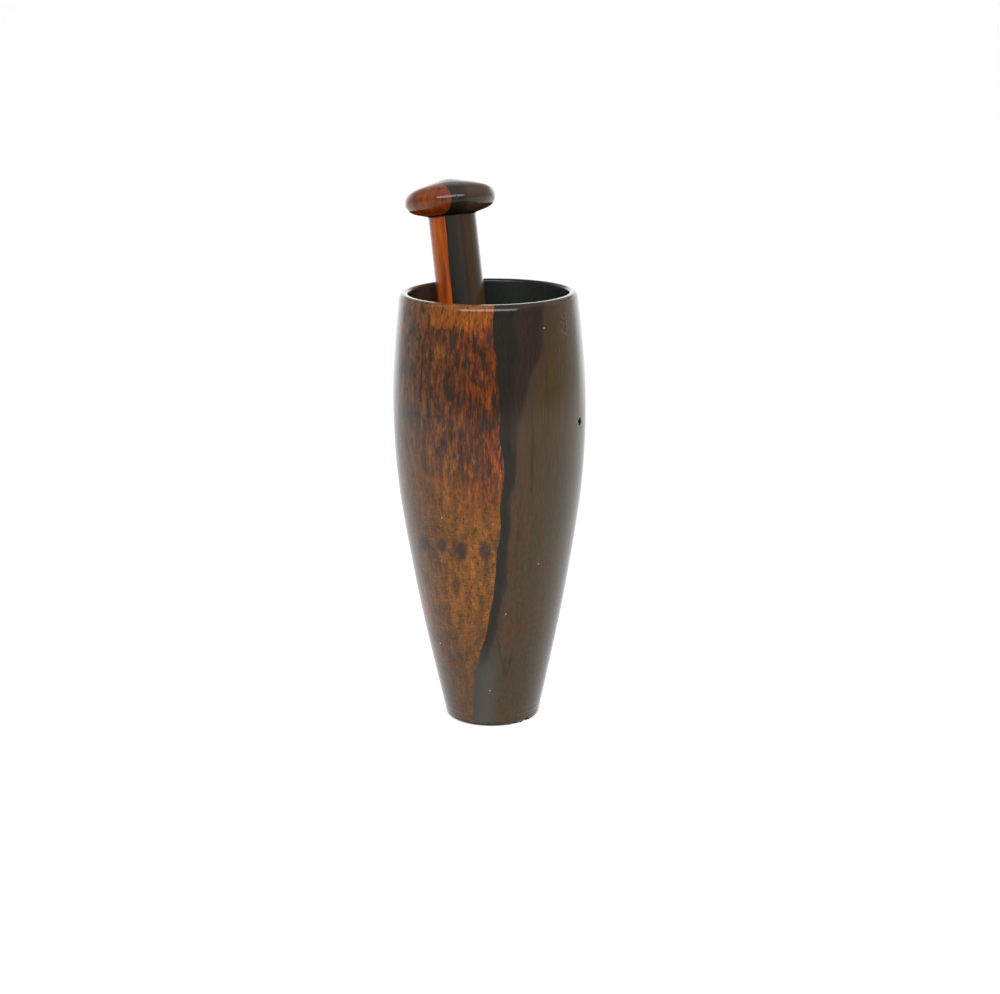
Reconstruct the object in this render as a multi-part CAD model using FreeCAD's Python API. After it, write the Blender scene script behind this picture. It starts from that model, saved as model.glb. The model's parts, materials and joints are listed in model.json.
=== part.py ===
"""Desk holder with its dip pen: a turned hardwood cup, and a mushroom-topped pen that leans in it.

Frame: millimetres, +Z up. The origin is the centre of the foot's flat face. The front of the cup
looks along -Y, and the pen leans to the left and to the back, against the cup's inner lip.
"""

import math
import os

import FreeCAD
import Part

Vec = FreeCAD.Vector

# ---------------------------------------------------------------- driving dimensions, the cup
CUP_HEIGHT = 110.0
FOOT_CORNER_R = 11.8         # where the foot's face and the cup's side would meet if left sharp
FOOT_ROUND = 0.8             # eased edge of the foot
LIP_OUTER_R = 22.4
LIP_INNER_R = 19.9
LIP_OUTER_ROUND = 1.3        # the lip's outer edge is well rounded, its inner edge only eased
LIP_INNER_ROUND = 0.7
FLOOR_Z = 10.5
FLOOR_FLAT_R = 4.4           # the flat middle of the rounded floor
# The outside as (radius, height): a nearly straight taper that rolls over into the belly.
OUTSIDE = [(14.66, 13.2), (17.65, 27.5), (20.61, 44.0), (23.05, 60.5), (24.12, 77.0), (23.57, 97.0)]
# The inside as (radius, height): nearly straight at the mouth, then narrowing with the outside.
INSIDE = [(19.70, 88.0), (17.70, 62.0), (13.80, 38.0), (9.40, 20.0)]

# ---------------------------------------------------------------- driving dimensions, the pen
PEN_TIP = Vec(2.86, -2.80, FLOOR_Z + 0.25)       # the pen's axis at its point, just over the floor
PEN_AT_RIM = Vec(-7.3, 11.5, CUP_HEIGHT)         # the pen's axis where it crosses the lip's plane
PEN_ABOVE_RIM = 17.4         # shaft between the lip's plane and the knob
SHAFT_R = 6.08
SHAFT_TOP_ROUND = 0.3        # eased arris under the knob, which shows as a fine line
SHAFT_END_R = 4.6            # the shaft's nib end
SHAFT_TAPER = 24.0           # length over which the shaft narrows to its nib end

KNOB_R = 11.5
KNOB_HEIGHT = 9.2
# The knob's side as fractions of its radius and height: a low crown over a well-rounded edge.
KNOB_SIDE = [(0.0, 1.0), (0.40, 0.917), (0.74, 0.793), (0.93, 0.649),
             (1.0, 0.442), (0.91, 0.195), (0.74, 0.085)]
KNOB_SEAT_R = 5.7            # the ring of its underside that sits on the shaft
SPIGOT_R = 2.5               # the knob's spigot, glued into the shaft
SPIGOT_LENGTH = 9.0
SPIGOT_POCKET = 1.0          # room for glue below the spigot
GLUE_GAP = 0.02

NIB_SHOWING = 24.0           # nib below the ferrule's mouth
NIB_SEATED = 10.0            # nib inside the ferrule
NIB_SHEET = 0.28
NIB_WAIST = 16.0             # height on the nib where its sheet starts to bend in to the point
NIB_POINT_R = 0.9            # distance of the point from the pen's axis
NIB_FIT = 0.04               # between the nib and the ferrule, and the nib and the clip
# The nib seen from the front, as (half width, height), from its point to its parallel shank.
NIB_EDGE = [(0.16, 0.0), (0.42, 2.2), (1.20, 7.0), (2.10, 11.5), (2.62, 15.5), (2.55, 18.5), (2.30, 21.5)]
VENT_Z = 12.5
VENT_R = 0.75
SLIT_WIDTH = 0.12

FERRULE_IN_R = 3.40
FERRULE_OUT_R = 3.75
FERRULE_SHOWING = 14.0
FERRULE_IN_WOOD = 14.0
FERRULE_POCKET = 0.5         # room above the ferrule in the wood
MOUTH_ROLL_R = 0.34          # rolled mouth
BEAD_R = 0.45                # rolled bead that stops the ferrule at the wood
BEAD_GAP = 0.02

CLIP_SHEET = 0.25
CLIP_RING_LENGTH = 4.0
CLIP_RING_GAP = 0.4          # between the nib's end and the clip's ring
CLIP_MOUTH_GAP = 0.6         # how far the prongs stop short of the ferrule's mouth
CLIP_PRONGS = 4
PRONG_WIDTH = 2.6
PRONG_ROOT = 0.5             # how far each prong runs into the ring

# ---------------------------------------------------------------- stations along the pen, from its point
FERRULE_MOUTH = NIB_SHOWING
WOOD_END = FERRULE_MOUTH + FERRULE_SHOWING
FERRULE_TOP = WOOD_END + FERRULE_IN_WOOD
NIB_END = NIB_SHOWING + NIB_SEATED
SHAFT_TOP = (PEN_AT_RIM - PEN_TIP).Length + PEN_ABOVE_RIM


# ---------------------------------------------------------------- helpers
def at(radius, height):
    """A point of an outline, which is always drawn in the XZ plane."""
    return Vec(radius, 0, height)


def line(a, b):
    return Part.LineSegment(a, b).toShape()


def quarter_round(start, corner, end):
    """The arc that leaves start and reaches end, for a corner eased by the same amount each way."""
    middle = corner + ((start + end) * 0.5 - corner) * (2 - math.sqrt(2))
    return Part.Arc(start, middle, end).toShape()


def smooth(points, first_direction=None, last_direction=None):
    """A smooth curve through the points, optionally with stated directions at its two ends."""
    curve = Part.BSplineCurve()
    if first_direction is None:
        curve.interpolate(points)
    else:
        curve.interpolate(Points=points, InitialTangent=first_direction, FinalTangent=last_direction)
    return curve.toShape()


def turned(edges):
    """The solid of revolution about Z of a closed outline."""
    return Part.Face(Part.Wire(edges)).revolve(Vec(0, 0, 0), Vec(0, 0, 1), 360)


def tube(inner, outer, low, high):
    bore = Part.makeCylinder(inner, high - low, at(0, low))
    return Part.makeCylinder(outer, high - low, at(0, low)).cut(bore)


# ---------------------------------------------------------------- the cup
def make_cup():
    foot_start = at(FOOT_CORNER_R - FOOT_ROUND, 0)
    foot_end = at(FOOT_CORNER_R + 0.2 * FOOT_ROUND, FOOT_ROUND)
    lip_outside = at(LIP_OUTER_R, CUP_HEIGHT - LIP_OUTER_ROUND)
    lip_top_outer = at(LIP_OUTER_R - LIP_OUTER_ROUND, CUP_HEIGHT)
    lip_top_inner = at(LIP_INNER_R + LIP_INNER_ROUND, CUP_HEIGHT)
    lip_inside = at(LIP_INNER_R, CUP_HEIGHT - LIP_INNER_ROUND)
    floor_edge = at(FLOOR_FLAT_R, FLOOR_Z)

    outside = smooth([foot_end] + [at(r, z) for r, z in OUTSIDE] + [lip_outside])
    inside = smooth([lip_inside] + [at(r, z) for r, z in INSIDE] + [floor_edge], at(0, -1), at(-1, 0))
    return turned([
        line(at(0, 0), foot_start),
        quarter_round(foot_start, at(FOOT_CORNER_R, 0), foot_end),
        outside,
        quarter_round(lip_outside, at(LIP_OUTER_R, CUP_HEIGHT), lip_top_outer),
        line(lip_top_outer, lip_top_inner),
        quarter_round(lip_top_inner, at(LIP_INNER_R, CUP_HEIGHT), lip_inside),
        inside,
        line(floor_edge, at(0, FLOOR_Z)),
        line(at(0, FLOOR_Z), at(0, 0)),
    ])


# ---------------------------------------------------------------- the pen, built upright on its point
def make_knob():
    side = [at(KNOB_R * r, SHAFT_TOP + KNOB_HEIGHT * h) for r, h in KNOB_SIDE]
    seat = at(KNOB_SEAT_R, SHAFT_TOP)
    spigot_root = at(SPIGOT_R, SHAFT_TOP)
    spigot_end = at(SPIGOT_R, SHAFT_TOP - SPIGOT_LENGTH)
    spigot_centre = at(0, SHAFT_TOP - SPIGOT_LENGTH)
    return turned([
        smooth(side, at(1, 0), seat - side[-1]),
        line(side[-1], seat),
        line(seat, spigot_root),
        line(spigot_root, spigot_end),
        line(spigot_end, spigot_centre),
        line(spigot_centre, side[0]),
    ])


def make_shaft():
    """The wooden shaft, with a socket for the knob's spigot and one for the ferrule."""
    socket_r = SPIGOT_R + GLUE_GAP
    socket_floor = SHAFT_TOP - SPIGOT_LENGTH - SPIGOT_POCKET
    bore_r = FERRULE_OUT_R + GLUE_GAP
    bore_end = FERRULE_TOP + FERRULE_POCKET
    taper_low = at(SHAFT_END_R, WOOD_END)
    taper_middle = at(0.6 * SHAFT_R + 0.4 * SHAFT_END_R, WOOD_END + 0.42 * SHAFT_TAPER)
    taper_top = at(SHAFT_R, WOOD_END + SHAFT_TAPER)
    arris_low = at(SHAFT_R, SHAFT_TOP - SHAFT_TOP_ROUND)
    arris_top = at(SHAFT_R - SHAFT_TOP_ROUND, SHAFT_TOP)
    return turned([
        smooth([taper_low, taper_middle, taper_top], at(0.1, 1), at(0, 1)),
        line(taper_top, arris_low),
        quarter_round(arris_low, at(SHAFT_R, SHAFT_TOP), arris_top),
        line(arris_top, at(socket_r, SHAFT_TOP)),
        line(at(socket_r, SHAFT_TOP), at(socket_r, socket_floor)),
        line(at(socket_r, socket_floor), at(0, socket_floor)),
        line(at(0, socket_floor), at(0, bore_end)),
        line(at(0, bore_end), at(bore_r, bore_end)),
        line(at(bore_r, bore_end), at(bore_r, WOOD_END)),
        line(at(bore_r, WOOD_END), taper_low),
    ])


def make_ferrule():
    """A drawn tube with a rolled mouth, and a rolled bead that stops it at the wood."""
    mouth_roll_z = FERRULE_MOUTH + MOUTH_ROLL_R
    wall = tube(FERRULE_IN_R, FERRULE_OUT_R, mouth_roll_z, FERRULE_TOP)
    mouth = Part.makeTorus(FERRULE_IN_R + MOUTH_ROLL_R, MOUTH_ROLL_R, at(0, mouth_roll_z))
    bead = Part.makeTorus(FERRULE_OUT_R, BEAD_R, at(0, WOOD_END - BEAD_R - BEAD_GAP))
    bore = Part.makeCylinder(FERRULE_IN_R, FERRULE_TOP)
    return wall.fuse([mouth, bead]).cut(bore)


def make_clip():
    """The sprung insert that grips the nib: a ring with prongs that reach down to the mouth."""
    prong_out = FERRULE_IN_R - NIB_SHEET - 2 * NIB_FIT
    prong_in = prong_out - CLIP_SHEET
    ring_low = NIB_END + CLIP_RING_GAP
    prong_low = FERRULE_MOUTH + CLIP_MOUTH_GAP
    prong_high = ring_low + PRONG_ROOT
    sleeve = tube(prong_in, prong_out, prong_low, prong_high)
    clip = tube(prong_in, FERRULE_IN_R - GLUE_GAP, ring_low, ring_low + CLIP_RING_LENGTH)
    for turn in range(CLIP_PRONGS):
        corner = Vec(0, -PRONG_WIDTH / 2, prong_low)
        blade = Part.makeBox(FERRULE_OUT_R, PRONG_WIDTH, prong_high - prong_low, corner)
        blade.rotate(Vec(0, 0, 0), Vec(0, 0, 1), 90 + 360 * turn / CLIP_PRONGS)
        clip = clip.fuse(sleeve.common(blade))
    return clip.removeSplitter()


def nib_sheet():
    """The nib's sheet before it is cut to its outline: a sleeve that bends in to the point."""
    outer = FERRULE_IN_R - NIB_FIT
    inner = outer - NIB_SHEET
    point_inner = NIB_POINT_R - NIB_SHEET
    bend_z = 0.4 * NIB_WAIST
    bend_outer = at(0.6 * outer + 0.4 * NIB_POINT_R, bend_z)
    bend_inner = at(0.6 * inner + 0.4 * point_inner, bend_z)
    return turned([
        smooth([at(inner, NIB_WAIST), bend_inner, at(point_inner, 0)], at(0, -1), at(-0.1, -1)),
        line(at(point_inner, 0), at(NIB_POINT_R, 0)),
        smooth([at(NIB_POINT_R, 0), bend_outer, at(outer, NIB_WAIST)], at(0.1, 1), at(0, 1)),
        line(at(outer, NIB_WAIST), at(outer, NIB_END)),
        line(at(outer, NIB_END), at(inner, NIB_END)),
        line(at(inner, NIB_END), at(inner, NIB_WAIST)),
    ])


def make_nib():
    """A pointed steel nib: its curved sheet, cut to outline, with its vent and its slit."""
    depth = 2 * FERRULE_IN_R
    right = [at(w, z) for w, z in NIB_EDGE]
    left = [at(-w, z) for w, z in reversed(NIB_EDGE)]
    shank_right = at(right[-1].x, NIB_END)
    shank_left = at(left[0].x, NIB_END)
    outline = Part.Wire([
        smooth(right),
        line(right[-1], shank_right),
        line(shank_right, shank_left),
        line(shank_left, left[0]),
        smooth(left),
        line(left[-1], right[0]),
    ])
    blade = Part.Face(outline).extrude(Vec(0, -depth, 0))
    slit = Part.makeBox(SLIT_WIDTH, depth, VENT_Z, Vec(-SLIT_WIDTH / 2, -depth, 0))
    vent = Part.makeCylinder(VENT_R, depth, Vec(0, -depth, VENT_Z), Vec(0, 1, 0))
    return nib_sheet().common(blade).cut(slit).cut(vent)


def lean(shape):
    """Stands a pen piece, built upright on the pen's point, along the pen's leaning axis."""
    axis = PEN_AT_RIM - PEN_TIP
    shape.Placement = FreeCAD.Placement(PEN_TIP, FreeCAD.Rotation(at(0, 1), axis)).multiply(shape.Placement)
    return shape


# ---------------------------------------------------------------- one STEP for each piece
def main():
    pieces = {
        "cup": make_cup(),
        "pen_knob": lean(make_knob()),
        "pen_shaft": lean(make_shaft()),
        "ferrule": lean(make_ferrule()),
        "nib_clip": lean(make_clip()),
        "nib": lean(make_nib()),
    }
    os.makedirs("parts", exist_ok=True)
    for name, shape in pieces.items():
        shape.exportStep(f"parts/{name}.step")
        print(f"{name:10s} solids {len(shape.Solids)} valid {shape.isValid()} {shape.Volume:9.1f} mm3")
    lean_angle = math.degrees((PEN_AT_RIM - PEN_TIP).getAngle(at(0, 1)))
    print(f"pen length {SHAFT_TOP + KNOB_HEIGHT:.1f} mm, leaning {lean_angle:.1f} degrees")


main()
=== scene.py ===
"""Looks of the desk cup and its dip pen: turned two-tone hardwood, a brass ferrule and a steel nib.

Lengths are in metres unless a name ends in _MM. The cup stands on z = 0 about the Z axis, and the
pen's pieces are built upright on its point and stood along the pen's leaning axis.
"""

import json
import math

import bpy
import numpy as np
from mathutils import Matrix, Vector


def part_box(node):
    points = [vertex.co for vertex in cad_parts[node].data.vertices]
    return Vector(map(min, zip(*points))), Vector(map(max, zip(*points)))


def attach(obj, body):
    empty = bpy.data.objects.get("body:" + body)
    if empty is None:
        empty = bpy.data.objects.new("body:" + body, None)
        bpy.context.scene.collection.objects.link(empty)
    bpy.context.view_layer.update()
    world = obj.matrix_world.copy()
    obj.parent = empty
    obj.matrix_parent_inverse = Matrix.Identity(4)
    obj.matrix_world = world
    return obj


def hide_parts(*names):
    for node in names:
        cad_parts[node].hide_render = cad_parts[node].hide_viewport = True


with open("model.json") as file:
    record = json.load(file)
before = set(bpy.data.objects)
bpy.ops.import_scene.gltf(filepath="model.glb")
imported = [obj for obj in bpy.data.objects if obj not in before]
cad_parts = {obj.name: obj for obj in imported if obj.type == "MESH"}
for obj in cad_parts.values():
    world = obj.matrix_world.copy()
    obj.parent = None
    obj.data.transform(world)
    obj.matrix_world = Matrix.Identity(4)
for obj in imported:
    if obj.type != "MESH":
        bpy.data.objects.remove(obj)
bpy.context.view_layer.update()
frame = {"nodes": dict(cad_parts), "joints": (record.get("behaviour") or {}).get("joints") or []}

MM = 0.001
CENTRE_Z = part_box("cup")[1].z / 2


# ================================================================ outlines
def spline(points, count, first=None, last=None):
    """Points of a smooth curve through the given ones, with end directions if they are given."""
    p = np.array(points, float)
    step = np.hypot(*np.diff(p, axis=0).T)
    t = np.concatenate([[0], np.cumsum(step)])
    n = len(p)
    system = np.zeros((n, n))
    right = np.zeros((n, 2))
    for i in range(1, n - 1):
        system[i, i - 1:i + 2] = step[i], 2 * (step[i - 1] + step[i]), step[i - 1]
        right[i] = 3 * (step[i] / step[i - 1] * (p[i] - p[i - 1])
                        + step[i - 1] / step[i] * (p[i + 1] - p[i]))
    for end, near, direction in ((0, 1, first), (n - 1, n - 2, last)):
        chord = (p[1] - p[0]) / step[0] if end == 0 else (p[-1] - p[-2]) / step[-1]
        if direction is None:
            system[end, end], system[end, near] = 2, 1
            right[end] = 3 * chord
        else:
            system[end, end] = 1
            right[end] = np.array(direction, float) / np.hypot(*direction)
    slope = np.linalg.solve(system, right)
    u = np.linspace(0, t[-1], count)
    k = np.clip(np.searchsorted(t, u, side="right") - 1, 0, n - 2)
    h = step[k][:, None]
    w = (u - t[k])[:, None] / h
    return ((1 + 2 * w) * (1 - w) ** 2 * p[k] + w * (1 - w) ** 2 * h * slope[k]
            + w ** 2 * (3 - 2 * w) * p[k + 1] + w ** 2 * (w - 1) * h * slope[k + 1])


def line(a, b, count):
    return np.linspace(a, b, count)


def corner(start, middle, end, count=9):
    """A right-angled corner rounded from start to end, as a quarter of an ellipse about its centre."""
    centre = np.array(start) + np.array(end) - np.array(middle)
    turn = np.linspace(0, math.pi / 2, count)[:, None]
    return centre + (np.array(start) - centre) * np.cos(turn) + (np.array(end) - centre) * np.sin(turn)


def joined(*runs):
    """One outline from runs that meet end to end."""
    return np.concatenate([runs[0]] + [run[1:] for run in runs[1:]])


def refined(values, centres, half_width, count):
    """The sorted values with extra ones gathered about each centre, where small marks need a finer mesh."""
    extra = [np.linspace(c - half_width, c + half_width, count) for c in centres]
    merged = np.sort(np.concatenate([values] + extra))
    keep = np.concatenate([[True], np.diff(merged) > half_width / count * 0.6])
    return merged[keep]


# ================================================================ turned meshes
def turned(name, outline_mm, angles, shape=None):
    """A closed surface of revolution. shape may move its points, which it gets in millimetres."""
    r, z = outline_mm[:, 0][:, None], outline_mm[:, 1][:, None]
    x, y = r * np.sin(angles)[None, :], -r * np.cos(angles)[None, :]
    place = np.stack([x, y, np.broadcast_to(z, x.shape)], axis=-1)
    if shape:
        place = shape(place)
    rows, around = place.shape[:2]
    inner = place[1:-1].reshape(-1, 3)
    points = np.concatenate([inner, place[:1, 0], place[-1:, 0]]) * MM
    first_pole, last_pole = len(inner), len(inner) + 1
    length = np.concatenate([[0], np.cumsum(np.hypot(*np.diff(outline_mm, axis=0).T))])
    v = 0.01 + 0.98 * length / length[-1]
    u = np.append(angles, 2 * math.pi + angles[0])
    u = 0.01 + 0.98 * (u - u[0]) / (2 * math.pi)
    faces, uvs = [], []
    for j in range(around):
        k = (j + 1) % around
        faces.append((first_pole, k, j))
        uvs += [((u[j] + u[j + 1]) / 2, v[0]), (u[j + 1], v[1]), (u[j], v[1])]
        for i in range(rows - 3):
            faces.append((i * around + j, i * around + k, (i + 1) * around + k, (i + 1) * around + j))
            uvs += [(u[j], v[i + 1]), (u[j + 1], v[i + 1]), (u[j + 1], v[i + 2]), (u[j], v[i + 2])]
        last = (rows - 3) * around
        faces.append((last + j, last + k, last_pole))
        uvs += [(u[j], v[-2]), (u[j + 1], v[-2]), ((u[j] + u[j + 1]) / 2, v[-1])]
    mesh = bpy.data.meshes.new(name)
    mesh.from_pydata(points.tolist(), [], faces)
    layer = mesh.uv_layers.new(name="OFBake")
    layer.data.foreach_set("uv", np.array(uvs, np.float32).ravel())
    mesh.polygons.foreach_set("use_smooth", np.ones(len(faces), bool))
    piece = bpy.data.objects.new(name, mesh)
    bpy.context.scene.collection.objects.link(piece)
    return piece


def scooped(place, centre, radius, rough, seed):
    """Points inside a rough ball are pushed out onto it, as a chip or a dent leaves a surface."""
    away = place - np.array(centre)
    distance = np.linalg.norm(away, axis=-1, keepdims=True)
    wave_x = np.sin(away[..., :1] * 5.1 + seed)
    wave_y = np.sin(away[..., 1:2] * 4.3 + 2 * seed)
    wave_z = np.sin(away[..., 2:] * 6.2)
    radius = radius * (1 + rough * (wave_x * wave_y * wave_z))
    push = np.where(distance < radius, radius / np.maximum(distance, 1e-6), 1.0)
    return np.array(centre) + away * push


# ================================================================ the cup's mesh
OUTSIDE_MM = [(14.66, 13.2), (17.65, 27.5), (20.61, 44.0), (23.05, 60.5), (24.12, 77.0), (23.57, 97.0)]
INSIDE_MM = [(19.70, 88.0), (17.70, 62.0), (13.80, 38.0), (9.40, 20.0)]
HEIGHT_MM = 110.0
FOOT_CORNER_MM, FOOT_ROUND_MM = 11.8, 0.8
LIP_OUT_MM, LIP_OUT_ROUND_MM, LIP_OUT_DROP_MM = 22.4, 1.3, 1.9
LIP_IN_MM, LIP_IN_ROUND_MM = 19.9, 0.7
FLOOR_MM, FLOOR_FLAT_MM = 10.5, 4.4
TURNED_IN_MM = 0.04           # the outside is drawn in by this, which leaves room for its fine waves
# The small open pit in the dark wood: sideways place, height, and the cup's radius there.
PIT_X_MM, PIT_Z_MM, PIT_REACH_MM = 22.15, 78.9, 24.1
PIT_MM = (PIT_X_MM, -math.sqrt(PIT_REACH_MM ** 2 - PIT_X_MM ** 2), PIT_Z_MM)
PIT_SIZE_MM = 0.98
# Chips along the edge of the foot: angle from the front in degrees, radius in millimetres.
FOOT_CHIPS = [(20, 0.9), (28, 1.3), (37, 1.05), (47, 1.5), (58, 1.0), (-64, 0.7), (112, 0.8), (158, 1.0),
              (-141, 0.7)]
ROUGHNESS = 0.3               # how far the ball that makes a chip or the pit is out of round


def cup_outline():
    """From the middle of the foot out, up, over the lip and down to the middle of the cavity's floor."""
    foot_start = (FOOT_CORNER_MM - FOOT_ROUND_MM, 0)
    foot_end = (FOOT_CORNER_MM + 0.2 * FOOT_ROUND_MM, FOOT_ROUND_MM)
    out_low, in_low = HEIGHT_MM - LIP_OUT_DROP_MM, HEIGHT_MM - LIP_IN_ROUND_MM
    outside = spline([foot_end] + OUTSIDE_MM + [(LIP_OUT_MM, out_low)], 400)
    levels = np.concatenate([np.arange(FOOT_ROUND_MM, 4, 0.16), np.arange(4, out_low, 0.62), [out_low]])
    levels = refined(levels, [PIT_Z_MM], 0.9, 13)
    outside = np.stack([np.interp(levels, outside[:, 1], outside[:, 0]), levels], axis=-1)
    inside = spline([(LIP_IN_MM, in_low)] + INSIDE_MM + [(FLOOR_FLAT_MM, FLOOR_MM)], 120, (0, -1), (-1, 0))
    ridge_out, ridge_in = LIP_OUT_MM - LIP_OUT_ROUND_MM, LIP_IN_MM + LIP_IN_ROUND_MM
    return joined(
        line((0, 0), foot_start, 12),
        corner(foot_start, (FOOT_CORNER_MM, 0), foot_end),
        outside,
        corner((LIP_OUT_MM, out_low), (LIP_OUT_MM, HEIGHT_MM), (ridge_out, HEIGHT_MM), 21),
        line((ridge_out, HEIGHT_MM), (ridge_in, HEIGHT_MM), 4),
        corner((ridge_in, HEIGHT_MM), (LIP_IN_MM, HEIGHT_MM), (LIP_IN_MM, in_low), 11),
        inside,
        line((FLOOR_FLAT_MM, FLOOR_MM), (0, FLOOR_MM), 8),
    )


def worn_cup(place):
    """The cup's turned surface with fine tool waves, a pit in the dark side and chips round the foot."""
    x, y, z = place[..., 0], place[..., 1], place[..., 2]
    r = np.maximum(np.hypot(x, y), 1e-6)
    around = np.arctan2(x, -y)
    low = np.clip((75 - z) / 45, 0, 1)
    coarse = 0.010 * np.sin(z * 3.4 + 0.8 * np.sin(around * 2))
    fine = 0.007 * np.sin(z * 5.3 + around)
    wave = (coarse + fine) * 1.3 * low
    out_of_round = 0.03 * np.sin(around * 2 + 0.7) * np.sin(z * 0.06 + 1)
    beyond_cavity = r > np.interp(z, [0, 13, 60, 97, 110], [10, 13, 21, 22, 21.5])
    outer = (r > 12) & (z > 1.5) & (z < HEIGHT_MM - 3) & beyond_cavity
    scale = 1 - np.where(outer, TURNED_IN_MM + wave + out_of_round, 0) / r
    place = place * np.stack([scale, scale, np.ones_like(scale)], axis=-1)
    pit_centre = (PIT_MM[0] * 1.004, PIT_MM[1] * 1.004, PIT_MM[2])
    place = scooped(place, pit_centre, PIT_SIZE_MM, ROUGHNESS, 1.0)
    reach = FOOT_CORNER_MM + 0.35
    for turn, size in FOOT_CHIPS:
        a = math.radians(turn)
        centre = (reach * math.sin(a), -reach * math.cos(a), -0.1)
        place = scooped(place, centre, size, ROUGHNESS, turn)
    place[..., 2] = np.maximum(place[..., 2], 0)
    return place


def make_cup(wood):
    pit_angle = math.asin(PIT_X_MM / PIT_REACH_MM)
    angles = refined(np.linspace(-math.pi, math.pi, 240, endpoint=False), [pit_angle], 0.04, 13)
    cup = turned("cup_turned", cup_outline(), angles, worn_cup)
    cup.data.materials.append(wood)
    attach(cup, "cup")
    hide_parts("cup")


# ================================================================ the pen's meshes
PEN_TIP = Vector((2.86, -2.80, 10.75)) * MM
PEN_AXIS = Vector(frame["joints"][0]["axis"])
LEAN = Vector((0, 0, 1)).rotation_difference(PEN_AXIS)
STAND_PEN = Matrix.Translation(PEN_TIP) @ LEAN.to_matrix().to_4x4()

SHAFT_TOP_MM = 118.19
SHAFT_MM, SHAFT_END_MM, TAPER_MM, WOOD_END_MM = 6.08, 4.6, 24.0, 38.0
KNOB_MM, KNOB_HEIGHT_MM, SEAT_MM = 11.5, 9.2, 5.7
# The knob's side from its crown down, as shares of its radius and its height.
KNOB_SIDE = [(0.0, 1.0), (0.40, 0.917), (0.74, 0.793), (0.93, 0.649), (1.0, 0.442), (0.91, 0.195),
             (0.74, 0.085)]
KNOB_BARE_MM = 1.9            # up to here above the shaft its underside was left unpolished
# A fleck has come out of the dark side of the knob's rounded edge, a little off the front.
FLECK_MM, FLECK_SIZE_MM, FLECK_ANGLE = (1.95, -11.55, SHAFT_TOP_MM + 3.9), 0.32, 0.167
SPIGOT_MM, SPIGOT_LENGTH_MM, POCKET_MM = 2.5, 9.0, 1.0
FERRULE_BORE_MM, FERRULE_BORE_END_MM = 3.77, 52.5
ARRIS_MM = 0.12               # the rounding of the shaft's top edge


def on_pen(piece, node, polished_wood, bare_wood, bare):
    """Stands an upright piece of the pen on its axis. bare tells which heights were left unpolished."""
    piece.data.materials.append(polished_wood)
    piece.data.materials.append(bare_wood)
    for face in piece.data.polygons:
        face.material_index = int(bare(face.center[2] / MM))
    piece.data.transform(STAND_PEN)
    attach(piece, "pen")
    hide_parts(node)


def make_knob(wood, bare_wood):
    spigot_end = SHAFT_TOP_MM - SPIGOT_LENGTH_MM
    side = [(KNOB_MM * r, SHAFT_TOP_MM + KNOB_HEIGHT_MM * h) for r, h in KNOB_SIDE]
    seat = (SEAT_MM, SHAFT_TOP_MM)
    rim = side[-1]
    inward = (seat[0] - rim[0], seat[1] - rim[1])
    outline = joined(
        line((0, spigot_end), (SPIGOT_MM, spigot_end), 4),
        line((SPIGOT_MM, spigot_end), (SPIGOT_MM, SHAFT_TOP_MM), 12),
        line((SPIGOT_MM, SHAFT_TOP_MM), seat, 6),
        line(seat, rim, 12),
        spline(side, 90, (1, 0), inward)[::-1],
    )

    def worn(place):
        return scooped(place, FLECK_MM, FLECK_SIZE_MM, 0.2, 3.0)

    angles = refined(np.linspace(-math.pi, math.pi, 160, endpoint=False), [FLECK_ANGLE], 0.05, 11)
    knob = turned("knob_turned", outline, angles, worn)
    bare_below = SHAFT_TOP_MM + KNOB_BARE_MM
    on_pen(knob, "pen_knob", wood, bare_wood, lambda z: z < bare_below)


def make_shaft(wood, bare_wood):
    socket = SPIGOT_MM + 0.02
    socket_floor = SHAFT_TOP_MM - SPIGOT_LENGTH_MM - POCKET_MM
    taper_top = WOOD_END_MM + TAPER_MM
    taper = spline([(SHAFT_END_MM, WOOD_END_MM),
                    (0.6 * SHAFT_MM + 0.4 * SHAFT_END_MM, WOOD_END_MM + 0.42 * TAPER_MM),
                    (SHAFT_MM, taper_top)], 50, (0.1, 1), (0, 1))
    side_end = SHAFT_TOP_MM - ARRIS_MM
    below_arris = side_end - 0.05
    top_edge = (SHAFT_MM - ARRIS_MM, SHAFT_TOP_MM)
    bore_end = (0, FERRULE_BORE_END_MM)
    outline = joined(
        line(bore_end, (FERRULE_BORE_MM, FERRULE_BORE_END_MM), 4),
        line((FERRULE_BORE_MM, FERRULE_BORE_END_MM), (FERRULE_BORE_MM, WOOD_END_MM), 16),
        line((FERRULE_BORE_MM, WOOD_END_MM), (SHAFT_END_MM, WOOD_END_MM), 4),
        taper,
        line((SHAFT_MM, taper_top), (SHAFT_MM, below_arris), 110),
        line((SHAFT_MM, below_arris), (SHAFT_MM, side_end), 2),
        corner((SHAFT_MM, side_end), (SHAFT_MM, SHAFT_TOP_MM), top_edge, 6),
        line(top_edge, (socket, SHAFT_TOP_MM), 6),
        line((socket, SHAFT_TOP_MM), (socket, socket_floor), 14),
        line((socket, socket_floor), (0, socket_floor), 4),
    )
    angles = np.linspace(-math.pi, math.pi, 144, endpoint=False)
    shaft = turned("shaft_turned", outline, angles)
    on_pen(shaft, "pen_shaft", wood, bare_wood, lambda z: z > below_arris)


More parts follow.
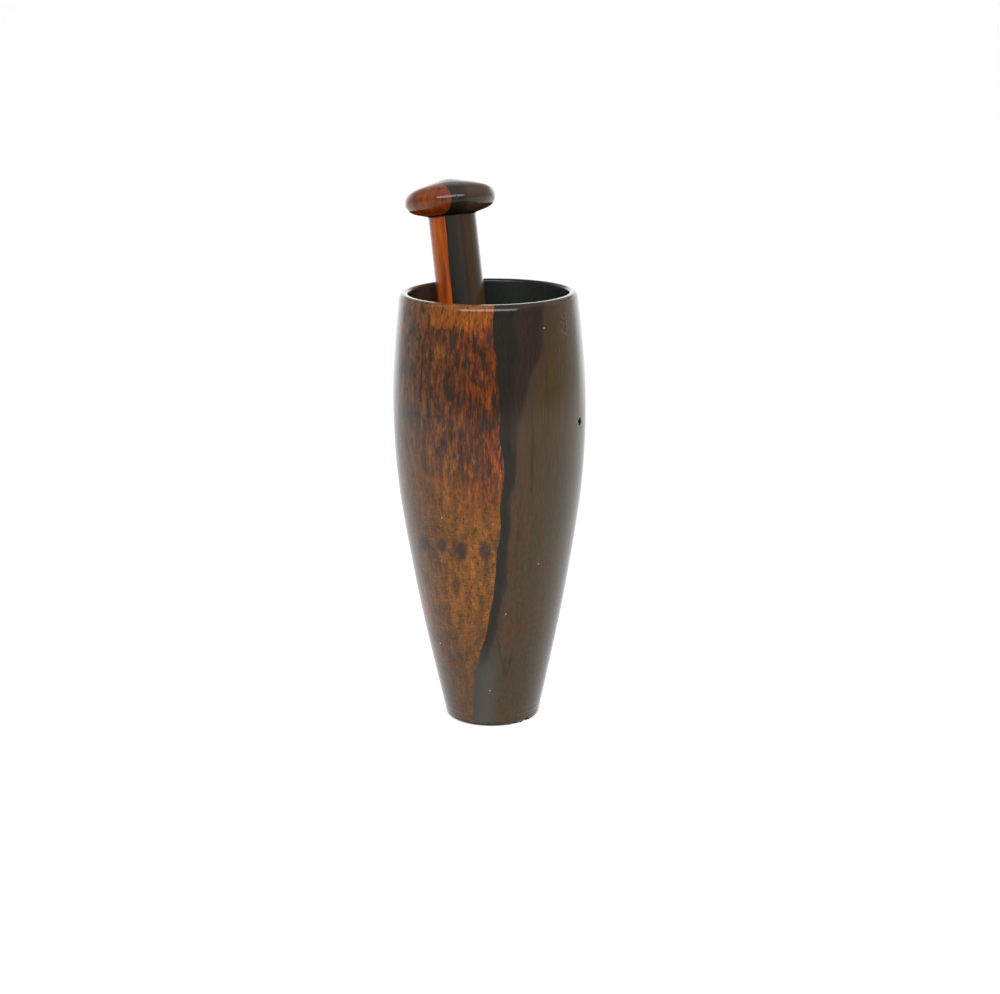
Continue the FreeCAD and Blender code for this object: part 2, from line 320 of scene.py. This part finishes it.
# ================================================================ shader helpers
class Net:
    """Short calls that add nodes to a material's tree and return their output sockets."""

    def __init__(self, tree):
        self.tree = tree
        self.shader = tree.nodes.get("Principled BSDF")

    def node(self, kind, **settings):
        made = self.tree.nodes.new("ShaderNode" + kind)
        for key, value in settings.items():
            setattr(made, key, value)
        return made

    def put(self, socket, value):
        if isinstance(value, bpy.types.NodeSocket):
            self.tree.links.new(value, socket)
        elif value is not None:
            socket.default_value = value

    def math(self, operation, a, b=None, c=None):
        made = self.node("Math", operation=operation)
        for socket, value in zip(made.inputs, (a, b, c)):
            self.put(socket, value)
        return made.outputs[0]

    def times(self, a, b):
        return self.math("MULTIPLY", a, b)

    def plus(self, a, b):
        return self.math("ADD", a, b)

    def minus(self, a, b):
        return self.math("SUBTRACT", a, b)

    def scaled(self, value, factor, added):
        return self.math("MULTIPLY_ADD", value, factor, added)

    def vector(self, operation, a, b=None):
        made = self.node("VectorMath", operation=operation)
        self.put(made.inputs[0], a)
        self.put(made.inputs[1], b)
        return made.outputs["Value" if operation == "LENGTH" else "Vector"]

    def apart(self, vector):
        """The x, y and z of a vector."""
        split = self.node("SeparateXYZ")
        self.put(split.inputs[0], vector)
        return split.outputs[0], split.outputs[1], split.outputs[2]

    def step(self, value, low, high, smooth=True):
        """0 below low, 1 above high. low above high turns it round."""
        made = self.node("MapRange", interpolation_type="SMOOTHSTEP" if smooth else "LINEAR", clamp=True)
        for key, v in (("Value", value), ("From Min", low), ("From Max", high)):
            self.put(made.inputs[key], v)
        return made.outputs[0]

    def span(self, value, low, high, at_low, at_high):
        """A smooth passage from one number to another as value goes from low to high."""
        return self.scaled(self.step(value, low, high), at_high - at_low, at_low)

    def blend(self, factor, a, b):
        made = self.node("Mix", data_type="FLOAT")
        for socket, value in zip((made.inputs[0], made.inputs[2], made.inputs[3]), (factor, a, b)):
            self.put(socket, value)
        return made.outputs[0]

    def away(self, x, z, place_x, place_z, wide=1.0, tall=1.0):
        """The squared distance from a place, counted in wide sideways and in tall upwards."""
        aside = self.math("DIVIDE", self.minus(x, place_x), wide)
        up = self.math("DIVIDE", self.minus(z, place_z), tall)
        return self.plus(self.times(aside, aside), self.times(up, up))

    def nearest(self, x, z, places):
        """The least of the squared distances from several places."""
        least = self.away(x, z, *places[0])
        for place in places[1:]:
            least = self.math("MINIMUM", least, self.away(x, z, *place))
        return least

    def noise(self, vector, detail=3.0, roughness=0.55):
        made = self.node("TexNoise", noise_dimensions="3D")
        self.put(made.inputs["Vector"], vector)
        for key, v in (("Scale", 1.0), ("Detail", detail), ("Roughness", roughness)):
            made.inputs[key].default_value = v
        return made.outputs["Fac"]

    def grain(self, place, across, along, shift=(0, 0, 0), **settings):
        """Noise drawn out along the grain. Its features are across wide and along long, in millimetres."""
        scaled = self.vector("MULTIPLY", place, (1 / across, 1 / across, 1 / along))
        return self.noise(self.vector("ADD", scaled, shift), **settings)

    def curve(self, value, points, low, high):
        """A smooth function of value through (value, result) points whose results lie from low to high."""
        made = self.node("FloatCurve")
        in_low, in_high = points[0][0], points[-1][0]
        graph = made.mapping.curves[0]
        for n, (a, b) in enumerate(points):
            spot = ((a - in_low) / (in_high - in_low), (b - low) / (high - low))
            if n in (0, len(points) - 1):
                graph.points[0 if n == 0 else -1].location = spot
            else:
                graph.points.new(*spot)
        made.mapping.update()
        self.put(made.inputs["Value"], self.step(value, in_low, in_high, smooth=False))
        return self.scaled(made.outputs[0], high - low, low)

    def ramp(self, value, stops):
        made = self.node("ValToRGB")
        for n, (position, colour) in enumerate(stops):
            element = made.color_ramp.elements[n] if n < 2 else made.color_ramp.elements.new(position)
            element.position = position
            element.color = (*colour, 1)
        self.put(made.inputs["Fac"], value)
        return made.outputs["Color"]

    def mix(self, factor, a, b, blend="MIX"):
        made = self.node("Mix", data_type="RGBA", blend_type=blend)
        for socket, value in ((made.inputs[0], factor), (made.inputs[6], a), (made.inputs[7], b)):
            self.put(socket, (*value, 1) if isinstance(value, tuple) and len(value) == 3 else value)
        return made.outputs[2]

    def stain(self, colour, where, strength, other):
        """colour going part of the way to another one, as far as strength, where asked."""
        return self.mix(self.times(where, strength), colour, other)

    def shade(self, colour, amount):
        """colour made lighter or darker by a number."""
        grey = self.node("CombineColor")
        for socket in grey.inputs:
            self.put(socket, amount)
        return self.mix(1.0, colour, grey.outputs[0], "MULTIPLY")

    def bump(self, height, strength, distance):
        made = self.node("Bump")
        self.put(made.inputs["Height"], height)
        made.inputs["Strength"].default_value = strength
        made.inputs["Distance"].default_value = distance
        return made.outputs[0]


def new_material(name):
    """A fresh material and the helper for its nodes."""
    material = bpy.data.materials.new(name)
    material.use_nodes = True
    return material, Net(material.node_tree)


def srgb(red, green, blue):
    """Linear colour from the usual 0 to 255 numbers."""
    def linear(part):
        share = part / 255
        return share / 12.92 if share < 0.04045 else ((share + 0.055) / 1.055) ** 2.4
    return linear(red), linear(green), linear(blue)


# ================================================================ the wood
# Where the two woods meet on the cup's front: height, sideways place.
SEAM_MM = [(0, -2.6), (9, -2.55), (16, -2.15), (21, -1.35), (27, 0.0), (33, 0.85), (41, 1.7), (49, 2.1),
           (54, 2.75), (62, 2.65), (68, 3.6), (73, 3.4), (78.5, 2.3), (85, 2.6), (94, 2.2), (99, 2.1),
           (104, 1.3), (110, 1.9)]
# The black band beyond the seam: height, width.
BAND_MM = [(0, 1.0), (12, 1.0), (24, 2.0), (45, 2.3), (62, 2.0), (72, 2.6), (78, 3.6), (92, 7.5),
           (104, 12.0), (110, 12.0)]
PEN_BAND_MM = 4.2
# A radius just beyond the cavity's wall, which parts the painted shade of the inside from the outside:
# height, radius.
WALL_MM = [(0, 8.0), (10, 8.0), (24, 13.5), (44, 17.8), (62, 20.3), (88, 21.6), (108.5, 21.2), (110, 20.6)]
# Dark smudges round the waist: sideways place, height, half width, half height.
SMUDGES_MM = [(-16.6, 49.3, 1.3, 2.2), (-12.1, 49.9, 1.2, 2.0), (-6.9, 49.3, 1.3, 2.5),
              (-1.3, 49.4, 1.4, 2.6)]
# Specks of dust on the front: sideways place, height.
SPECKS_MM = [(3.6, 32.1), (-11.9, 57.3), (-0.6, 10.6), (11.8, 44.7), (13.3, 103.9), (-13.0, 22.0)]
# The oval of small scratches under the lip: sideways place, height, half width, half height.
SCUFFS_MM = (18.4, 103.6, 1.5, 3.4)
# The pen's seam: how far it turns from straight across, and how far it lies beside the axis.
SHAFT_SEAM_SLOPE, SHAFT_SEAM_MM = 0.209, 2.9
KNOB_SEAM_SLOPE, KNOB_SEAM_MM = 0.48, 5.0
SEAM_DRIFT = 0.022            # how much it draws aside along the pen, per millimetre


def polished(net, colour, height, gloss=1.0):
    """A hand-polished finish: soft wood below, and a thin clear gloss."""
    net.put(net.shader.inputs["Base Color"], colour)
    net.put(net.shader.inputs["Roughness"], net.scaled(height, 0.16, 0.36 if gloss else 0.5))
    net.shader.inputs["Specular IOR Level"].default_value = 0.12 if gloss else 0.0
    net.shader.inputs["Coat Weight"].default_value = gloss
    net.shader.inputs["Coat Roughness"].default_value = 0.11
    net.shader.inputs["Coat IOR"].default_value = 1.42
    net.put(net.shader.inputs["Normal"], net.bump(height, 0.35, 0.00012))


def dark_wood(net, place, from_seam, seam_band):
    """The dark side: long soft streaks of brown, purple and olive beyond a black band by the seam."""
    z = net.apart(place)[2]
    streak = net.grain(place, 1.9, 60, (3, 1, 0), detail=4.0, roughness=0.6)
    colour = net.ramp(streak, [(0.30, srgb(56, 44, 30)), (0.43, srgb(84, 58, 28)), (0.50, srgb(74, 58, 40)),
                               (0.58, srgb(90, 58, 28)), (0.74, srgb(74, 62, 34))])
    yellower = net.mix(0.6, colour, srgb(76, 62, 34))
    colour = net.mix(net.step(from_seam, 5, 14), colour, yellower)
    reddish = net.step(net.grain(place, 1.1, 34, (5, 2, 6), detail=2.0), 0.53, 0.63)
    colour = net.stain(colour, net.times(reddish, net.step(z, 66, 46)), 0.4, srgb(96, 58, 28))
    olive = net.step(net.grain(place, 5.0, 55, (2, 2, 9), detail=2.0), 0.46, 0.58)
    colour = net.stain(colour, olive, 0.5, srgb(70, 64, 40))
    fine = net.grain(place, 0.25, 6, (7, 3, 2), detail=3.0)
    colour = net.shade(colour, net.scaled(fine, 1.1, 0.45))
    purple = net.step(from_seam, net.plus(seam_band, 6.0), seam_band)
    colour = net.stain(colour, net.times(purple, net.step(z, 62, 84)), 0.7, srgb(72, 54, 46))
    ragged = net.plus(from_seam, net.scaled(net.grain(place, 1.5, 12, (1, 9, 4)), 2.4, -1.2))
    wedge = net.step(ragged, net.plus(seam_band, 1.4), net.minus(seam_band, 0.4))
    core = net.step(ragged, net.scaled(seam_band, 0.35, 2.6), net.scaled(seam_band, 0.3, 0.6))
    brown_black = net.ramp(fine, [(0.35, srgb(42, 32, 26)), (0.7, srgb(58, 42, 32))])
    blue_black = net.ramp(fine, [(0.35, srgb(21, 23, 19)), (0.7, srgb(36, 31, 24))])
    return net.stain(colour, wedge, 0.9, net.mix(core, brown_black, blue_black))


def mottled(net, place, from_seam):
    """The red-brown side's broad figure: clouded, hottest by the seam, sooty and blotched higher up, with a
    painted highlight under the lip.
    """
    z = net.apart(place)[2]
    high = net.step(z, 60, 76)
    near_seam = net.step(from_seam, -15, -3)
    cloud = net.grain(place, 1.9, 6.5, detail=4.0, roughness=0.62)
    upper = net.ramp(cloud, [(0.33, srgb(40, 36, 30)), (0.42, srgb(72, 46, 38)), (0.50, srgb(100, 56, 34)),
                             (0.58, srgb(124, 74, 34)), (0.70, srgb(152, 98, 48))])
    lower = net.ramp(cloud, [(0.32, srgb(92, 62, 28)), (0.44, srgb(128, 80, 28)), (0.55, srgb(154, 92, 28)),
                             (0.70, srgb(174, 108, 38))])
    colour = net.mix(high, lower, upper)
    embers = net.grain(place, 0.9, 6.0, (4, 4, 4), detail=3.0, roughness=0.6)
    hot = net.ramp(embers, [(0.36, srgb(40, 30, 24)), (0.46, srgb(86, 40, 18)), (0.55, srgb(146, 64, 12)),
                            (0.68, srgb(184, 92, 16))])
    colour = net.stain(colour, net.times(near_seam, net.step(z, 56, 68)), 0.8, hot)
    sooty = net.times(net.times(net.step(z, 74, 82), net.step(z, 106, 99)), near_seam)
    colour = net.shade(colour, net.scaled(sooty, -0.42, 1.0))
    # Painted highlight: a brighter amber band across the top of the red side, just under the lip, with a
    # ragged lower edge.
    above_edge = net.minus(z, net.scaled(cloud, 9.0, 100.0))
    under_lip_highlight = net.times(net.step(above_edge, -0.6, 1.0), net.step(from_seam, -19, -13))
    colour = net.stain(colour, under_lip_highlight, 0.55, srgb(160, 90, 22))
    flank = net.step(from_seam, -12, -21)
    colour = net.stain(colour, flank, 0.5, srgb(92, 66, 42))
    blotch = net.step(net.grain(place, 1.5, 5.0, (2, 7, 1), detail=3.0), 0.545, 0.63)
    return net.stain(colour, net.times(blotch, high), 0.8, srgb(42, 40, 30))


def smudged(net, place):
    """How far a place lies in one of the dark smudges, which are on the front only."""
    x, y, z = net.apart(place)
    ragged = net.scaled(net.grain(place, 0.6, 0.7, (5, 5, 5)), 2.4, -1.2)
    smudge = net.step(net.plus(net.nearest(x, z, SMUDGES_MM), ragged), 1.7, 0.3)
    return net.times(smudge, net.step(y, 2, -2))


def cup_orange(net, place, from_seam):
    """The red-brown side: mottled, flecked with black, finely rippled lower down and greyer at the foot."""
    x, y, z = net.apart(place)
    low = net.step(z, 72, 52)
    fibre = net.grain(place, 0.27, 2.6, (9, 2, 3), detail=3.0, roughness=0.65)
    fibre_depth = net.scaled(low, -1.1, 2.1)
    colour = mottled(net, place, from_seam)
    colour = net.shade(colour, net.scaled(net.minus(fibre, 0.5), fibre_depth, 1.0))
    fleck = net.step(net.grain(place, 0.42, 1.5, (1, 2, 8), detail=2.0), 0.56, 0.66)
    colour = net.stain(colour, fleck, 0.6, srgb(50, 36, 26))
    ripple = net.grain(place, 1.5, 0.30, (6, 1, 1), detail=3.0, roughness=0.7)
    rippled = net.scaled(net.minus(ripple, 0.5), net.times(low, 2.2), 1.0)
    level = net.times(net.span(z, 8, 40, 0.68, 0.85), net.span(z, 60, 72, 1.0, 1.22))
    colour = net.shade(colour, net.times(rippled, level))
    foot = net.step(z, 36, 4)
    colour = net.stain(colour, foot, 0.5, srgb(78, 64, 48))
    low_flank = net.times(low, net.step(x, -6, -14))
    colour = net.shade(colour, net.scaled(low_flank, -0.2, 1.0))
    return net.stain(colour, smudged(net, place), 0.8, srgb(44, 42, 38)), fibre


def coordinates(net, along_pen=False):
    """The place on a piece in millimetres, from the cup's foot or along the pen from its point."""
    frame_map = net.node("Mapping", vector_type="TEXTURE")
    net.put(frame_map.inputs["Vector"], net.node("TexCoord").outputs["Object"])
    frame_map.inputs["Scale"].default_value = (MM, MM, MM)
    if along_pen:
        frame_map.inputs["Location"].default_value = PEN_TIP
        frame_map.inputs["Rotation"].default_value = STAND_PEN.to_euler()
    return frame_map.outputs[0]


def handled(net, place, reach, colour):
    """Wear on the outside, and a painted shadow: a painted contact shadow along the foot's edge, the dark
    pit, a few specks and scuffs under the lip.
    """
    x, y, z = net.apart(place)
    front = net.step(y, 0, -2)
    # Painted contact shadow: a ragged near-black line along the bottom of the foot's edge.
    uneven = net.scaled(net.grain(place, 0.8, 0.8, (3, 3, 3)), 1.2, -0.6)
    foot_contact_shadow = net.times(net.step(net.plus(z, uneven), 1.4, 0.6), net.step(reach, 10.0, 11.2))
    colour = net.stain(colour, foot_contact_shadow, 0.9, srgb(32, 25, 20))
    from_pit = net.vector("LENGTH", net.vector("SUBTRACT", place, PIT_MM))
    colour = net.mix(net.step(from_pit, 1.25, 0.95), colour, srgb(14, 11, 9))
    speck = net.times(net.step(net.nearest(x, z, SPECKS_MM), 0.045, 0.012), front)
    colour = net.mix(speck, colour, srgb(190, 182, 170))
    scratched = net.step(net.away(x, z, *SCUFFS_MM), 1.2, 0.4)
    scratch = net.step(net.grain(place, 0.35, 0.9, (4, 8, 1), detail=2.0), 0.55, 0.62)
    scuff = net.times(net.times(scratched, scratch), front)
    return net.stain(colour, scuff, 0.45, srgb(134, 112, 98))


def cup_wood():
    material, net = new_material("two_tone_wood_cup")
    place = coordinates(net)
    x, y, z = net.apart(place)
    reach = net.math("SQRT", net.scaled(x, x, net.times(y, y)))
    seam = net.curve(z, SEAM_MM, -10, 10)
    wander = net.scaled(net.grain(place, 3.0, 6.0, (8, 8, 8)), 0.8, -0.4)
    slant = net.scaled(net.plus(y, 24.0), 0.2, x)
    from_seam = net.minus(net.minus(slant, seam), wander)
    dark = dark_wood(net, place, from_seam, net.curve(z, BAND_MM, 0, 15))
    grey = net.times(net.step(z, 26, 14), net.step(from_seam, 8, 3))
    dark = net.stain(dark, grey, 0.68, srgb(80, 82, 78))
    orange, fibre = cup_orange(net, place, from_seam)
    dark_side = net.step(from_seam, -0.12, 0.12)
    colour = handled(net, place, reach, net.mix(dark_side, orange, dark))
    wall = net.curve(z, WALL_MM, 0, 25)
    inside = net.times(net.step(reach, wall, net.minus(wall, 0.3)), net.step(z, 9.5, 10.0))
    # Painted shade inside the cavity: dark brown-black on the red side and teal-black on the dark side, over
    # the outside's colour at half strength.
    inside_shade_tone = net.mix(dark_side, srgb(60, 56, 49), srgb(41, 48, 44))
    inside_shade_tone = net.shade(inside_shade_tone, net.scaled(fibre, 0.8, 0.6))
    shadowed = net.mix(0.85, net.shade(colour, 0.5), inside_shade_tone)
    polished(net, net.mix(inside, colour, shadowed), fibre)
    return material


def pen_wood(name, gloss):
    """The pen's two woods, with the seam a little further over on the knob and a dark line at its joint."""
    material, net = new_material(name)
    place = coordinates(net, along_pen=True)
    x, y, z = net.apart(place)
    on_knob = net.step(z, SHAFT_TOP_MM - 0.05, SHAFT_TOP_MM + 0.05)
    slope = net.scaled(on_knob, KNOB_SEAM_SLOPE - SHAFT_SEAM_SLOPE, SHAFT_SEAM_SLOPE)
    offset = net.scaled(on_knob, KNOB_SEAM_MM - SHAFT_SEAM_MM, SHAFT_SEAM_MM)
    slant = net.scaled(y, slope, x)
    drift = net.times(net.minus(z, SHAFT_TOP_MM), SEAM_DRIFT)
    wander = net.scaled(net.grain(place, 3.0, 12.0, (2, 6, 8)), 0.5, -0.25)
    from_seam = net.plus(net.minus(net.plus(slant, offset), drift), wander)
    cloud = net.grain(place, 1.6, 16, (1, 3, 2), detail=3.0)
    orange = net.ramp(cloud, [(0.32, srgb(122, 54, 18)), (0.5, srgb(172, 78, 20)), (0.68, srgb(198, 96, 24))])
    fibre = net.grain(place, 0.22, 5.0, (9, 2, 3), detail=3.0, roughness=0.6)
    deeper = net.span(z, SHAFT_TOP_MM - 0.2, SHAFT_TOP_MM + 0.6, 1.0, 0.5)
    orange = net.shade(orange, net.times(net.scaled(fibre, 0.7, 0.65), deeper))
    dark = dark_wood(net, place, from_seam, PEN_BAND_MM)
    colour = net.mix(net.step(from_seam, -0.1, 0.1), orange, dark)
    from_joint = net.math("ABSOLUTE", net.minus(z, SHAFT_TOP_MM))
    colour = net.stain(colour, net.step(from_joint, 0.5, 0.15), 0.8, srgb(16, 12, 9))
    polished(net, colour, fibre, gloss)
    return material


# ================================================================ the metals
def metal(name, low, high, roughness):
    """Drawn and handled metal: faint lines along the pen, and a little tarnish."""
    material, net = new_material(name)
    place = coordinates(net, along_pen=True)
    stain = net.noise(net.vector("MULTIPLY", place, (0.35, 0.35, 0.25)), detail=4.0, roughness=0.6)
    lines = net.grain(place, 0.1, 6.0, detail=2.0)
    colour = net.shade(net.ramp(stain, [(0.35, low), (0.65, high)]), net.scaled(lines, 0.3, 0.85))
    net.put(net.shader.inputs["Base Color"], colour)
    net.shader.inputs["Metallic"].default_value = 1.0
    net.put(net.shader.inputs["Roughness"], net.scaled(stain, 0.25, roughness))
    net.put(net.shader.inputs["Normal"], net.bump(lines, 0.2, 0.00003))
    return material


def finish_cad_metals():
    """The three metal pieces are shown as they were built, each in its own metal."""
    looks = {
        "ferrule": metal("aged_brass", (0.42, 0.27, 0.10), (0.80, 0.60, 0.27), 0.16),
        "nib_clip": metal("spring_sheet", (0.34, 0.34, 0.36), (0.58, 0.58, 0.60), 0.25),
        "nib": metal("tempered_steel", (0.20, 0.19, 0.21), (0.42, 0.38, 0.34), 0.18),
    }
    for node, material in looks.items():
        slots = frame["nodes"][node].data.materials
        if len(slots) == 0:
            slots.append(material)
        for n in range(len(slots)):
            slots[n] = material


# ================================================================ studio
def make_world():
    """A white room, dark on the camera's side, over a pale table. The camera itself sees plain white."""
    world = bpy.data.worlds.new("white_room")
    bpy.context.scene.world = world
    world.use_nodes = True
    net = Net(world.node_tree)
    background = net.tree.nodes["Background"]
    x, y, height = net.apart(net.node("TexCoord").outputs["Generated"])
    facing = net.times(y, -1.0)
    wall = net.scaled(net.step(facing, -1.0, 0.2, smooth=False), -0.87, 1.0)
    table = net.span(facing, -0.7, 0.7, 1.0, 0.62)
    ceiling = net.span(height, 0.3, 0.9, 0.0, 1.0)
    room = net.blend(ceiling, wall, 0.62)
    behind = net.step(facing, 0.0, -0.6)
    room = net.times(room, net.span(net.times(behind, height), 0.2, 0.42, 1.0, 0.5))
    backdrop = net.times(net.step(facing, -0.6, -0.85), net.step(height, 0.36, 0.22))
    room = net.blend(backdrop, room, 1.8)
    room = net.blend(net.step(height, -0.14, -0.24), room, table)
    seen = net.node("LightPath").outputs["Is Camera Ray"]
    net.put(background.inputs["Strength"], net.blend(seen, room, 1.05))
    background.inputs["Color"].default_value = (1, 1, 1, 1)


def make_softbox(name, place, size, power):
    """A rectangular lamp turned towards the middle of the cup."""
    light = bpy.data.lights.new(name, "AREA")
    light.shape = "RECTANGLE"
    light.size, light.size_y = size
    light.energy = power
    lamp = bpy.data.objects.new(name, light)
    lamp.location = place
    towards = Vector((0, 0, CENTRE_Z)) - lamp.location
    lamp.rotation_mode = "QUATERNION"
    lamp.rotation_quaternion = towards.to_track_quat("-Z", "Y")
    bpy.context.scene.collection.objects.link(lamp)


def make_floor():
    """A plain white floor, lit evenly enough to leave only a trace of shadow. It is clear from below."""
    half = 20.0
    corners = [(-half, -half, 0), (half, -half, 0), (half, half, 0), (-half, half, 0)]
    mesh = bpy.data.meshes.new("floor")
    mesh.from_pydata(corners, [], [(0, 1, 2, 3)])
    floor = bpy.data.objects.new("floor", mesh)
    bpy.context.scene.collection.objects.link(floor)
    material, net = new_material("floor_paper")
    net.shader.inputs["Base Color"].default_value = (0.8, 0.8, 0.8, 1)
    net.shader.inputs["Roughness"].default_value = 0.9
    net.shader.inputs["Specular IOR Level"].default_value = 0.1
    net.shader.inputs["Emission Color"].default_value = (1, 1, 1, 1)
    net.shader.inputs["Emission Strength"].default_value = 0.6
    clear = net.node("BsdfTransparent")
    either = net.node("MixShader")
    net.put(either.inputs[0], net.node("NewGeometry").outputs["Backfacing"])
    net.put(either.inputs[1], net.shader.outputs[0])
    net.put(either.inputs[2], clear.outputs[0])
    net.put(net.tree.nodes["Material Output"].inputs["Surface"], either.outputs[0])
    floor.data.materials.append(material)
    floor.location.z = -0.02 * MM         # just under the foot, so that the two never coincide
    floor.visible_glossy = False
    floor.visible_diffuse = False


def make_camera():
    """A long lens from the front and a little above, level with the cup but for half a degree."""
    lens, sensor = 75.6, 36.0
    distance = 0.5325
    elevation, roll = math.radians(14.63), math.radians(0.509)
    aside, above = 0.00238, 0.00236          # how far the view's centre lies from the cup's middle
    forward = Vector((0, math.cos(elevation), -math.sin(elevation)))
    level_right, level_up = Vector((1, 0, 0)), Vector((0, math.sin(elevation), math.cos(elevation)))
    right = level_right * math.cos(roll) - level_up * math.sin(roll)
    up = level_right * math.sin(roll) + level_up * math.cos(roll)
    data = bpy.data.cameras.new("camera")
    data.lens, data.sensor_width = lens, sensor
    camera = bpy.data.objects.new("camera", data)
    turn = Matrix((right, up, -forward)).transposed().to_4x4()
    place = Vector((0, 0, CENTRE_Z)) + right * aside + up * above - forward * distance
    camera.matrix_world = Matrix.Translation(place) @ turn
    bpy.context.scene.collection.objects.link(camera)
    bpy.context.scene.camera = camera


# ================================================================ the scene
def main():
    polished_pen = pen_wood("two_tone_wood_pen", 1.0)
    make_cup(cup_wood())
    bare_pen = pen_wood("bare_wood_pen", 0.0)
    make_knob(polished_pen, bare_pen)
    make_shaft(polished_pen, bare_pen)
    finish_cad_metals()
    make_world()
    make_softbox("softbox_front", place=(0, -0.70, 0.47), size=(1.05, 0.28), power=5.4)
    make_floor()
    make_camera()
    bpy.context.scene.view_settings.view_transform = "Standard"


main()
